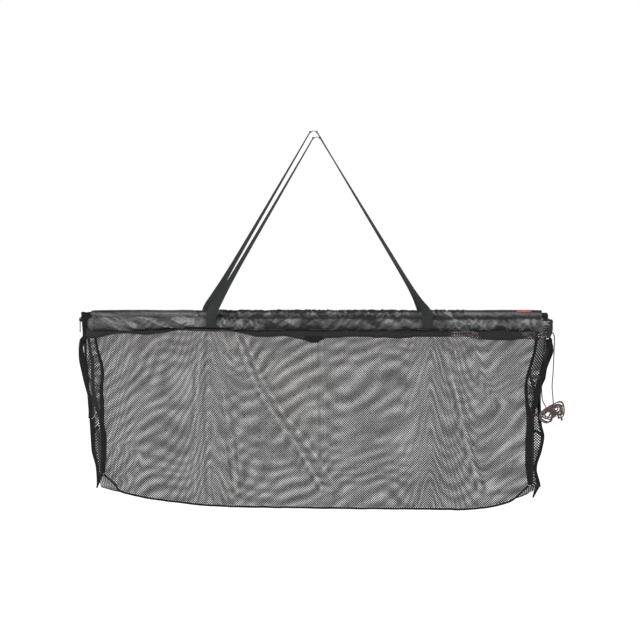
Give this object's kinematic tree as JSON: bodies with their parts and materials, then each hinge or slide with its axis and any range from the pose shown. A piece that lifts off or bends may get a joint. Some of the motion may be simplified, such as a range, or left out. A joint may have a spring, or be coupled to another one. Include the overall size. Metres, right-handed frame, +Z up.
{
  "type": "carp sack",
  "caption": "Hanging mesh retention sling with twin carrying straps, float bars in fabric sleeves, a corded mouth hem and an end zip.",
  "frame": {"origin": "the point where the front carrying strap hangs, on the underside of its top", "axes": "+X along the float bars towards the end with the knob, -Y towards the front, +Z up"},
  "size_m": [1.232, 0.0866, 0.9728],
  "materials": {
    "coated_cloth": "satin",
    "webbing": "matte",
    "binding": "matte",
    "net": "matte",
    "hem_net": "matte",
    "foam": "matte",
    "alloy": "satin",
    "plastic": "matte",
    "cord": "matte",
    "red_cord": "matte",
    "tag": "matte",
    "zip_metal": "satin"
  },
  "bodies": {
    "bag": {"rear_sleeve": "coated_cloth", "rear_strap": "webbing", "left_front_binding": "binding", "left_rear_binding": "binding", "right_front_binding": "binding", "right_rear_binding": "binding", "left_front_zip_tape": "binding", "left_rear_zip_tape": "binding", "left_fold_tape": "binding", "right_fold_tape": "binding", "bottom_seam": "binding", "left_gusset_seam": "binding", "right_gusset_seam": "binding", "left_cross_tab": "binding", "right_cross_tab": "binding", "left_corner_tip": "binding", "right_corner_tip": "binding", "front_mesh": "net", "rear_mesh": "net", "left_front_gusset": "net", "left_rear_gusset": "net", "right_front_gusset": "net", "right_rear_gusset": "net", "rear_hem": "hem_net", "left_zip_chain": "plastic", "cord_left_arc": "cord", "cord_drop": "cord", "cord_hank": "cord", "cord_wrap": "cord", "cord_return": "cord", "cord_knot_front": "cord", "cord_knot_rear": "cord", "rear_hem_cord": "red_cord", "red_tag": "tag", "left_zip_top_stop": "zip_metal"},
    "front_side": {"front_sleeve": "coated_cloth", "front_float": "foam", "front_rod": "alloy", "front_rod_plug_left": "plastic", "front_rod_plug_right": "plastic", "front_hem": "hem_net", "front_hem_cord": "red_cord", "hem_tab": "binding", "front_strap": "webbing", "right_end_tape": "webbing"},
    "rear_float_bar": {"rear_float": "foam", "rear_rod": "alloy", "rear_rod_plug": "plastic", "rear_end_knob": "plastic"},
    "zip_slider": {"left_zip_slider": "zip_metal"},
    "zip_puller": {"left_zip_puller": "zip_metal"}
  },
  "joints": [
    {"name": "mouth_open", "type": "hinge", "parent": "bag", "child": "front_side", "pos_m": [0, 0, 0], "axis": [-1, 0, 0], "range_deg": [0, 10]},
    {"name": "float_draw", "type": "slide", "parent": "bag", "child": "rear_float_bar", "axis": [1, 0, 0], "range_m": [0, 1.14]},
    {"name": "zip_run", "type": "slide", "parent": "bag", "child": "zip_slider", "axis": [0.0654, 0, -0.9979], "range_m": [0, 0.245]},
    {"name": "puller_swing", "type": "hinge", "parent": "zip_slider", "child": "zip_puller", "pos_m": [-0.60409, 0, -0.463], "axis": [0, 1, 0], "range_deg": [0, 150]}
  ]
}
